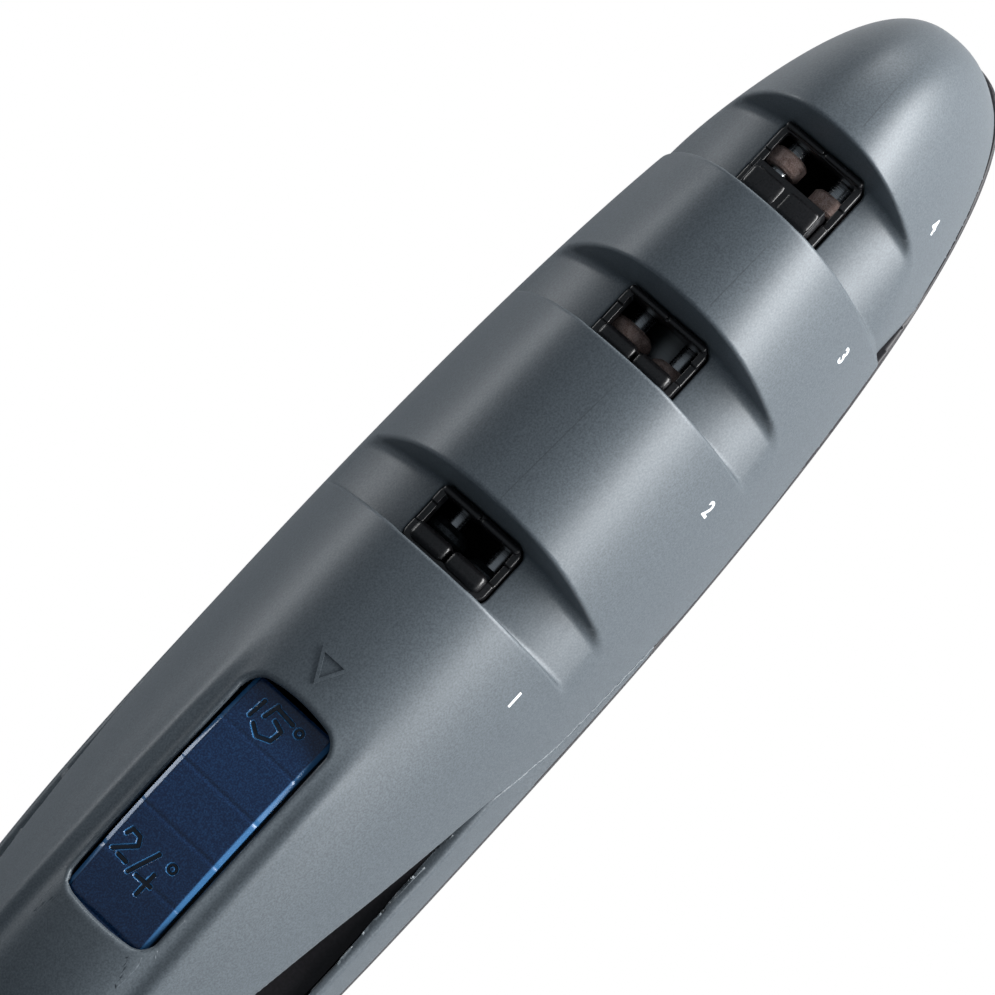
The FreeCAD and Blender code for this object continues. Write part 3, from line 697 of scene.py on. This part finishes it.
# Piece, rear, front, half width, low, high and rolled edge, all in mm.
GUIDES = [
    ("coarse_guide", 2.6, 6.4, 8.2, 38.0, 44.6, 1.3),
    ("fine_guide", 51.7, 55.0, 8.0, 37.6, 43.4, 1.2),
    ("scissors_guide_cap", 89.6, 95.0, 7.9, 37.4, 42.4, 1.4),
    ("coarse_guard", 12.6, 14.1, 9.0, 38.0, 44.3, 0.7),
    ("fine_guard", 61.8, 63.2, 9.0, 37.0, 43.4, 0.65),
    ("scissors_guard", 103.6, 104.9, 9.0, 34.0, 39.8, 0.6),
]


def guide_half(name, side, rear, front, half_width, low, high, roll_over):
    mesh = bpy.data.meshes.new(name)
    block = bmesh.new()
    bmesh.ops.create_cube(block, size=1.0)
    for corner in block.verts:
        corner.co.x = (rear + front) / 2 + corner.co.x * (front - rear)
        corner.co.y = side * (SEAM + half_width) / 2 + corner.co.y * (half_width - SEAM)
        corner.co.z = (low + high) / 2 + corner.co.z * (high - low)
        corner.co *= MM
    bmesh.ops.bevel(block, geom=list(block.edges), offset=roll_over * MM, segments=5, profile=0.5,
                    affect="EDGES")
    block.to_mesh(mesh)
    block.free()
    mesh.shade_smooth()
    mesh.materials.append(collar_black)
    guide = bpy.data.objects.new(name + ("_left" if side > 0 else "_right"), mesh)
    scene.collection.objects.link(guide)
    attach(guide, "root")


for name, *sizes in GUIDES:
    for side in (-1, 1):
        guide_half(name, side, *sizes)
print("guides and guards", len(GUIDES))

# %% [markdown]
# The dial is a strip of clear dark blue plastic, moulded as a row of flat facets for the thumb, with
# bevelled long edges and the blade angles cut into two facets. Cutting the figures out of a solid
# would leave ragged edges, so the top is a grid of heights: the facets come from the solid below each
# point, and every stroke of a figure takes away a groove with soft walls. The strokes are centre
# lines in millimetres, along the body and across it.
# %% Strokes of the figures
STROKES = {
    "one": [[(-36.2, 5.0), (-39.7, 5.3)]],
    "five": [[(-35.3, 2.6), (-38.2, 3.2)], [(-35.6, 2.3), (-36.0, -1.5)],
             [(-37.6, 1.2), (-38.3, -0.9), (-40.7, -0.6), (-41.7, 1.8), (-40.4, 3.8)]],
    "two": [[(-69.0, 6.9), (-67.8, 6.5), (-68.0, 4.6), (-69.4, 3.8), (-72.6, 7.1)],
            [(-72.7, 5.6), (-72.8, 3.6)]],
    "four": [[(-68.0, 0.0), (-73.8, 2.3)], [(-73.3, 0.7), (-73.2, -2.6)], [(-71.2, -1.7), (-75.7, -1.5)]],
}
DEGREE_RINGS = [(-36.4, -3.4, 0.7), (-68.3, -3.4, 0.75)]
RING_THINNER = 0.12


def stroke_distance(x, y):
    nearest = np.full(x.shape, 99.0)
    for stroke in sum(STROKES.values(), []):
        for (xa, ya), (xb, yb) in zip(stroke, stroke[1:]):
            ux, uy = xb - xa, yb - ya
            t = np.clip(((x - xa) * ux + (y - ya) * uy) / (ux * ux + uy * uy), 0.0, 1.0)
            nearest = np.minimum(nearest, np.hypot(x - xa - t * ux, y - ya - t * uy))
    for cx, cy, ring in DEGREE_RINGS:
        nearest = np.minimum(nearest, np.abs(np.hypot(x - cx, y - cy) - ring) + RING_THINNER)
    return nearest


print("strokes", sum(len(figure) for figure in STROKES.values()))

# %% [markdown]
# A ray sent down on to the solid gives the height of the dial's top at each place along it, and one
# sent up gives its underside. Bevels, the fine lines between facets and the grooves are taken off.
# %% Heights of the dial
from mathutils.bvhtree import BVHTree

DIAL_HALF = 9.2
BEVEL_WIDTH, BEVEL_SLOPE = 0.9, 0.75
FACET_PITCH, FACET_LINE_DEPTH, FACET_LINE_WIDTH = 10.0, 0.16, 0.4
GROOVE_HALF, GROOVE_DEPTH, GROOVE_WALL = 0.42, 0.4, 0.18
DIAL_GRID = 0.16
END_MARGIN = 0.05

dial_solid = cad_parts["angle_dial"].data
dial_points = points_of(dial_solid)
dial_rear, dial_front = dial_points[0].min() + END_MARGIN, dial_points[0].max() - END_MARGIN
dial_tree = BVHTree.FromPolygons([Vector(v) for v in dial_points.T],
                                 [tuple(f.vertices) for f in dial_solid.polygons])


def dial_surface(x, start_height, direction):
    hit = dial_tree.ray_cast(Vector((x, 0.0, start_height)), Vector((0.0, 0.0, direction)))[0]
    return hit.z if hit else 0.0


columns = np.arange(dial_rear, dial_front, DIAL_GRID)
rows = np.arange(-DIAL_HALF, DIAL_HALF + 0.001, 2 * DIAL_HALF / round(2 * DIAL_HALF / DIAL_GRID))
roof = np.array([dial_surface(x, 150.0, -1.0) for x in columns])
sole = np.array([dial_surface(x, -50.0, 1.0) for x in columns])
grid_x, grid_y = np.meshgrid(columns, rows, indexing="ij")
groove = np.clip((GROOVE_HALF + GROOVE_WALL / 2 - stroke_distance(grid_x, grid_y)) / GROOVE_WALL, 0.0, 1.0)
to_facet_middle = np.abs((grid_x - WINDOW_MIDDLE + FACET_PITCH / 2) % FACET_PITCH - FACET_PITCH / 2)
to_facet_line = FACET_PITCH / 2 - to_facet_middle
height = np.repeat(roof[:, None], len(rows), axis=1)
height -= np.clip(BEVEL_WIDTH - (DIAL_HALF - np.abs(grid_y)), 0.0, BEVEL_WIDTH) * BEVEL_SLOPE
height -= FACET_LINE_DEPTH * np.exp(-(to_facet_line / FACET_LINE_WIDTH) ** 2)
height -= GROOVE_DEPTH * groove
print("dial columns", len(columns), "rows", len(rows), "top %.1f mm" % height.max())

# %% [markdown]
# The grid becomes a closed mesh: the top, one strip of faces down each long side, the underside and the two
# ends. The depth of the cut is kept as an attribute of each point, for the painted shade in the grooves.
# %% Dial mesh
row_count = len(rows)
under = [(x, y, z) for x, z in zip(columns, sole) for y in (-DIAL_HALF, DIAL_HALF)]
top_points = np.stack([grid_x, grid_y, height], axis=2).reshape(-1, 3)
dial_faces = []
for i in range(len(columns) - 1):
    for j in range(row_count - 1):
        a = i * row_count + j
        dial_faces.append((a, a + row_count, a + row_count + 1, a + 1))
for i in range(len(columns) - 1):
    right = len(top_points) + 2 * i
    left = right + 1
    dial_faces.append((i * row_count, right, right + 2, (i + 1) * row_count))
    dial_faces.append(((i + 2) * row_count - 1, left + 2, left, (i + 1) * row_count - 1))
    dial_faces.append((right, left, left + 2, right + 2))
for i, turned_round in ((0, False), (len(columns) - 1, True)):
    right = len(top_points) + 2 * i
    cap = [*range(i * row_count, (i + 1) * row_count), right + 1, right]
    dial_faces.append(tuple(cap[::-1] if turned_round else cap))

dial_mesh = bpy.data.meshes.new("dial_strip")
dial_mesh.from_pydata([tuple(v) for v in np.vstack([top_points, under]) * MM], [], dial_faces)
groove_shade_attribute = dial_mesh.attributes.new("cut", "FLOAT", "POINT")
groove_shade_attribute.data.foreach_set("value", np.concatenate([groove.ravel(), np.zeros(len(under))]))


def faced_outwards(mesh):
    loose = bmesh.new()
    loose.from_mesh(mesh)
    bmesh.ops.recalc_face_normals(loose, faces=loose.faces)
    loose.to_mesh(mesh)
    loose.free()


faced_outwards(dial_mesh)
dial_mesh.shade_smooth()
dial_mesh.set_sharp_from_angle(angle=math.radians(30))
print("dial faces", len(dial_faces))

# %% [markdown]
# The dial is acrylic dyed navy: a deep colour, a clear gloss and a fine speckle from its frosted back. A
# painted highlight pales the colour where the surface leans away, at the bevels. The grooves get painted
# shade: they are darker by the depth of the cut.
# %% Dyed acrylic
dyed_acrylic, tree, shader, place = new_material("dyed_navy_acrylic")
SPECKLE_MM = 0.3
speckle = add_node(tree, "ShaderNodeTexNoise", {"Scale": per_metre(SPECKLE_MM), "Detail": 2.0}, Vector=place)
navy = add_node(tree, "ShaderNodeValToRGB", stops=((0.42, "#0b2040"), (0.78, "#1d3f66")),
                Fac=speckle.outputs["Fac"])
shape = add_node(tree, "ShaderNodeNewGeometry")
facing = add_node(tree, "ShaderNodeSeparateXYZ", Vector=shape.outputs["Normal"])
# Painted highlight: the navy is mixed towards a pale blue where the normal leans away from straight up.
bevel_highlight_amount = add_node(tree, "ShaderNodeMapRange", {"From Min": 0.93, "From Max": 0.72},
                   Value=facing.outputs["Z"])
with_bevel_highlight = add_node(tree, "ShaderNodeMix", {"data_type": "RGBA"}, _0=bevel_highlight_amount.outputs[0], _6=navy.outputs["Color"])
with_bevel_highlight.inputs[7].default_value = linear("#3f79ad")
# Painted shade: the depth of the cut darkens the grooves towards near black.
depth = add_node(tree, "ShaderNodeAttribute", {"attribute_name": "cut"})
deep = add_node(tree, "ShaderNodeMapRange", {"From Min": 0.15, "From Max": 0.7, "To Max": 0.85},
                Value=depth.outputs["Fac"])
shaded = add_node(tree, "ShaderNodeMix", {"data_type": "RGBA"}, _0=deep.outputs[0], _6=with_bevel_highlight.outputs[2])
shaded.inputs[7].default_value = linear("#050c18")
tree.links.new(shaded.outputs[2], shader.inputs["Base Color"])
gloss = add_node(tree, "ShaderNodeMapRange", {"To Min": 0.18, "To Max": 0.3}, Value=speckle.outputs["Fac"])
tree.links.new(gloss.outputs[0], shader.inputs["Roughness"])
shader.inputs["IOR"].default_value = 1.49
shader.inputs["Coat Weight"].default_value = 0.15
shader.inputs["Coat Roughness"].default_value = 0.15

dial_strip = bpy.data.objects.new("dial_strip", dial_mesh)
scene.collection.objects.link(dial_strip)
stands_for(dial_strip, "dial_strip", "angle_dial", dyed_acrylic, "dial")

# %% [markdown]
# Printed numbers mark the three slots and the nose. Pad printing lays ink on a curved surface, and a
# flat figure hung in front of it would show. So each figure starts as text, is made a mesh and cut
# finely, laid beside its slot, and pressed on to the body's field, a few hundredths of a millimetre
# proud. The raised pointer in front of the dial is pressed on in the same way.
# %% Pressing flat shapes on to the body
PRESS_ROUNDS = 4
CUT_ROUNDS = 3
LONGEST_EDGE = 0.45


def cut_finely(flat):
    mesh = flat.copy()
    edges = bmesh.new()
    edges.from_mesh(mesh)
    bmesh.ops.triangulate(edges, faces=edges.faces)
    for _ in range(CUT_ROUNDS):
        long_edges = [e for e in edges.edges if e.calc_length() > LONGEST_EDGE]
        bmesh.ops.subdivide_edges(edges, edges=long_edges, cuts=1)
        bmesh.ops.triangulate(edges, faces=edges.faces)
    edges.to_mesh(mesh)
    edges.free()
    return mesh


def pressed_on(name, flat, low, high, start, across, up, material):
    mesh = cut_finely(flat)
    flat_points = points_of(mesh) * MM
    level = np.where(flat_points[2] > 0, high, low)
    p = (np.array(start)[:, None] + np.outer(np.array(across), flat_points[0])
         + np.outer(np.array(up), flat_points[1]))
    p = moved_on(body_field, p, PRESS_ROUNDS)
    slope = gradient(body_field, p)
    p = p + slope / np.linalg.norm(slope, axis=0) * level
    mesh.vertices.foreach_set("co", (p.T * MM).ravel())
    faced_outwards(mesh)
    mark = bpy.data.objects.new(name, mesh)
    scene.collection.objects.link(mark)
    mesh.name = name
    mesh.materials.clear()
    mesh.materials.append(material)
    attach(mark, "root")


print("longest edge of a figure", LONGEST_EDGE, "mm")

# %% [markdown]
# The figures stand on the right flank, one beside each slot and one at the nose, and are read from
# that side. The height of the arch under each figure comes from the section's two powers, and the
# figure's reading direction from the slope of the skin there.
# %% Printed numbers
NUMBER_SIZE, NUMBER_BOLDER, NUMBER_THICK = 4.6, 0.11, 0.1
INK_BELOW, INK_ABOVE = -0.05, 0.03
NUMBER_PLACES = [("1", -7.6, -24.5), ("2", 41.5, -26.3), ("3", 79.4, -25.1), ("4", 109.1, -21.2)]

# Pad-printing ink: a dry white film, a little uneven where it is thin.
white_ink, tree, shader, place = new_material("pad_printed_white_ink")
film = add_node(tree, "ShaderNodeTexNoise", {"Scale": per_metre(0.4)}, Vector=place)
whites = add_node(tree, "ShaderNodeValToRGB", stops=((0.0, "#dfe3e6"), (1.0, "#f4f6f7")),
                  Fac=film.outputs["Fac"])
tree.links.new(whites.outputs["Color"], shader.inputs["Base Color"])
shader.inputs["Roughness"].default_value = 0.45


def flat_number(text):
    curve = bpy.data.curves.new("number", "FONT")
    curve.body = text
    curve.size = NUMBER_SIZE
    curve.offset = NUMBER_BOLDER
    curve.extrude = NUMBER_THICK
    holder = bpy.data.objects.new("number", curve)
    scene.collection.objects.link(holder)
    view = bpy.context.evaluated_depsgraph_get()
    mesh = bpy.data.meshes.new_from_object(holder.evaluated_get(view))
    bpy.data.objects.remove(holder)
    merged = bmesh.new()
    merged.from_mesh(mesh)
    bmesh.ops.remove_doubles(merged, verts=merged.verts, dist=0.001)
    merged.to_mesh(mesh)
    merged.free()
    return mesh


for text, x, y in NUMBER_PLACES:
    share = 1.0 - (abs(y) / float(half_width_at(np.array([x]))[0])) ** ACROSS_POWER
    z = float(height_at(np.array([x]))[0]) * share ** (1.0 / UP_POWER)
    outwards = gradient(skin, np.array([[x], [y], [z]]))[:, 0]
    down = np.cross(np.array([1.0, 0.0, 0.0]), outwards)
    down /= np.linalg.norm(down)
    if down[2] > 0:
        down = -down
    pressed_on("slot_number_" + text, flat_number(text), INK_BELOW, INK_ABOVE, (x, y, z), down,
               (1.0, 0.0, 0.0), white_ink)
print("numbers", len(NUMBER_PLACES))

# %% [markdown]
# A small raised triangle, open in the middle, points at the dial. It could be joined to the field,
# but the shell's grid is too coarse for an edge so small. So it is a flat ring of three sides,
# pressed on like the figures, which stands a little prouder, as a moulded mark does.
# %% Raised pointer
POINTER_OUTER = [(-22.3, 3.4), (-22.3, -3.4), (-28.4, 0.0)]
POINTER_INNER = [(-23.0, 2.3), (-23.0, -2.3), (-27.1, 0.0)]
POINTER_RISE = 0.3
ring_points = [(x, y, z) for z in (-0.1, 0.1) for x, y in POINTER_OUTER + POINTER_INNER]
ring_faces = []
for i in range(3):
    j = (i + 1) % 3
    ring_faces += [(6 + i, 6 + j, 9 + j, 9 + i), (i, 3 + i, 3 + j, j), (i, j, 6 + j, 6 + i),
                   (3 + i, 9 + i, 9 + j, 3 + j)]
pointer_flat = bpy.data.meshes.new("pointer")
pointer_flat.from_pydata(ring_points, [], ring_faces)
pressed_on("dial_pointer", pointer_flat, -POINTER_RISE, POINTER_RISE, (0.0, 0.0, 54.9), (1.0, 0.0, 0.0),
           (0.0, 1.0, 0.0), housing_grey)
print("pointer rises", POINTER_RISE, "mm")

# %% [markdown]
# Five cross-head screws hold the tray to the shell. Geometry Nodes place them, because they repeat:
# one tree makes a screw head, takes the cross out of it and sets a copy on every point of a mesh. Its
# sizes are inputs, so the same tree serves a screw of another size. The result becomes a plain mesh.
# %% Tree for the screws
SLOT_SINK = -0.35
CROSS_REACH = 1.3


def screw_tree(material):
    tree = bpy.data.node_groups.new("cross_head_screws", "GeometryNodeTree")
    tree.interface.new_socket("Points", in_out="INPUT", socket_type="NodeSocketGeometry")
    for name, size in (("Head radius", 2.6 * MM), ("Head height", 0.7 * MM), ("Cross width", 0.7 * MM)):
        socket = tree.interface.new_socket(name, in_out="INPUT", socket_type="NodeSocketFloat")
        socket.default_value = size
    tree.interface.new_socket("Geometry", in_out="OUTPUT", socket_type="NodeSocketGeometry")
    entry = add_node(tree, "NodeGroupInput")
    head = add_node(tree, "GeometryNodeMeshCylinder", {"Vertices": 40}, Radius=entry.outputs["Head radius"],
                    Depth=entry.outputs["Head height"])
    reach = add_node(tree, "ShaderNodeMath", {"operation": "MULTIPLY"}, _0=entry.outputs["Head radius"])
    reach.inputs[1].default_value = CROSS_REACH
    bars = []
    for along, across in ((entry.outputs["Cross width"], reach.outputs[0]),
                          (reach.outputs[0], entry.outputs["Cross width"])):
        size = add_node(tree, "ShaderNodeCombineXYZ", X=along, Y=across, Z=entry.outputs["Head height"])
        bar = add_node(tree, "GeometryNodeMeshCube", Size=size.outputs[0])
        sink = add_node(tree, "ShaderNodeCombineXYZ", {"Z": SLOT_SINK * MM})
        bars.append(add_node(tree, "GeometryNodeTransform", Geometry=bar.outputs[0],
                             Translation=sink.outputs[0]))
    cross = add_node(tree, "GeometryNodeMeshBoolean", {"operation": "DIFFERENCE"}, _0=head.outputs[0])
    for bar in bars:
        tree.links.new(bar.outputs[0], cross.inputs[1])
    spread = add_node(tree, "GeometryNodeInstanceOnPoints", Points=entry.outputs["Points"],
                      Instance=cross.outputs[0])
    real = add_node(tree, "GeometryNodeRealizeInstances", Geometry=spread.outputs[0])
    finish = add_node(tree, "GeometryNodeSetMaterial", {"Material": material}, Geometry=real.outputs[0])
    leave = add_node(tree, "NodeGroupOutput")
    tree.links.new(finish.outputs[0], leave.inputs[0])
    return tree


tree_of_screws = screw_tree(spindle_steel)
print("nodes in the tree", len(tree_of_screws.nodes))

# %% [markdown]
# The seats are single points on the tray's underside, one at the nose and two under each flank. The
# tree sets a head on every point, and its radius is given here as an input, for a smaller screw.
# %% Tray screws
SCREW_PLACES = [(118.0, 0.0), (60.0, 20.0), (60.0, -20.0), (-96.0, 20.0), (-96.0, -20.0)]
SCREW_LEVEL = 0.9
SCREW_RADIUS = 2.5
seats = bpy.data.meshes.new("tray_screws")
seats.from_pydata([(x * MM, y * MM, SCREW_LEVEL * MM) for x, y in SCREW_PLACES], [], [])
screws = bpy.data.objects.new("tray_screws", seats)
scene.collection.objects.link(screws)
maker = screws.modifiers.new("screws", "NODES")
maker.node_group = tree_of_screws
for socket in tree_of_screws.interface.items_tree:
    if socket.name == "Head radius":
        maker[socket.identifier] = SCREW_RADIUS * MM
settled(screws).name = "tray_screws_mesh"
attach(screws, "root")
print("screw faces", len(screws.data.polygons))

# %% [markdown]
# The nodes that stay as they are get the material of what they are made of. Any node not named here
# is a plain inner moulding, apart from the finer wheels, which are stone.
# %% Materials of the carried-over nodes
FINISHES = {
    "rail_cover": liner_black_and_shade, "motor_pinion": gear_acetal, "spindle_gear_right": gear_acetal,
    "spindle_gear_left": gear_acetal, "spindle_right": spindle_steel, "spindle_left": spindle_steel,
    "motor_shaft": spindle_steel, "motor_can": motor_zinc, "circuit_board": board_laminate,
    "wheel_coarse_right": diamond_grit, "wheel_coarse_left": diamond_grit, "rubber_feet": foot_rubber,
}
for name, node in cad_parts.items():
    plain = ceramic_stone if name.startswith("wheel") else inner_black
    node.data.materials.clear()
    node.data.materials.append(FINISHES.get(name, plain))
print("finished nodes", len(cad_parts))

# %% [markdown]
# The object stands on a pale matt floor. The camera sees the floor as plain white, through Light
# Path's Is Camera Ray, while the object is still lit by light that the real floor colour returns.
# %% Floor
FLOOR_HALF = 3.0
floor_mesh = bpy.data.meshes.new("floor")
floor_mesh.from_pydata([(-FLOOR_HALF, -FLOOR_HALF, 0), (FLOOR_HALF, -FLOOR_HALF, 0),
                        (FLOOR_HALF, FLOOR_HALF, 0), (-FLOOR_HALF, FLOOR_HALF, 0)], [], [(0, 1, 2, 3)])
floor = bpy.data.objects.new("floor", floor_mesh)
scene.collection.objects.link(floor)
floor_white, tree, shader, place = new_material("white_sweep")
shader.inputs["Base Color"].default_value = linear("#f2f2f2")
shader.inputs["Roughness"].default_value = 0.9
rays = add_node(tree, "ShaderNodeLightPath")
seen = add_node(tree, "ShaderNodeEmission", {"Strength": 1.0, "Color": (1.0, 1.0, 1.0, 1.0)})
sweep = add_node(tree, "ShaderNodeMixShader", _0=rays.outputs["Is Camera Ray"], _1=shader.outputs[0],
                 _2=seen.outputs[0])
tree.links.new(sweep.outputs[0], tree.nodes["Material Output"].inputs["Surface"])
floor_mesh.materials.append(floor_white)
print("floor %.0f m wide" % (2 * FLOOR_HALF))

# %% [markdown]
# The light is a soft studio: a broad softbox low on the right, towards the nose, which makes the
# right flank the brightest and leaves the walls that face the rear in shade, with two weak fills. The
# top stays darker, because only the pale world lights it from above.
# %% Lights
FILL_COLOUR = (0.8, 0.9, 1.0, 1.0)
FILL_STRENGTH = 0.27
world = bpy.data.worlds.new("studio")
scene.world = world
world.use_nodes = True
world.node_tree.nodes["Background"].inputs["Color"].default_value = FILL_COLOUR
world.node_tree.nodes["Background"].inputs["Strength"].default_value = FILL_STRENGTH


def soft_light(name, place_mm, target_mm, size_mm, power):
    data = bpy.data.lights.new(name, "AREA")
    data.shape = "RECTANGLE"
    data.size, data.size_y = size_mm[0] * MM, size_mm[1] * MM
    data.energy = power
    light = bpy.data.objects.new(name, data)
    scene.collection.objects.link(light)
    light.location = Vector(place_mm) * MM
    aim_at = Vector(target_mm) * MM - light.location
    light.rotation_euler = aim_at.to_track_quat("-Z", "Y").to_euler()


# Place, target and size in mm, then the power in watts.
soft_light("right_softbox", (560, -800, 260), (20, 0, 20), (1100, 420), 26.0)
soft_light("front_strip", (900, 250, 260), (60, 0, 30), (300, 200), 2.0)
soft_light("left_fill", (100, 900, 160), (0, 0, 20), (600, 200), 2.5)
print("lights", len(bpy.data.lights))

# %% [markdown]
# The last cell ends the script.
# %% End
print("scene built")
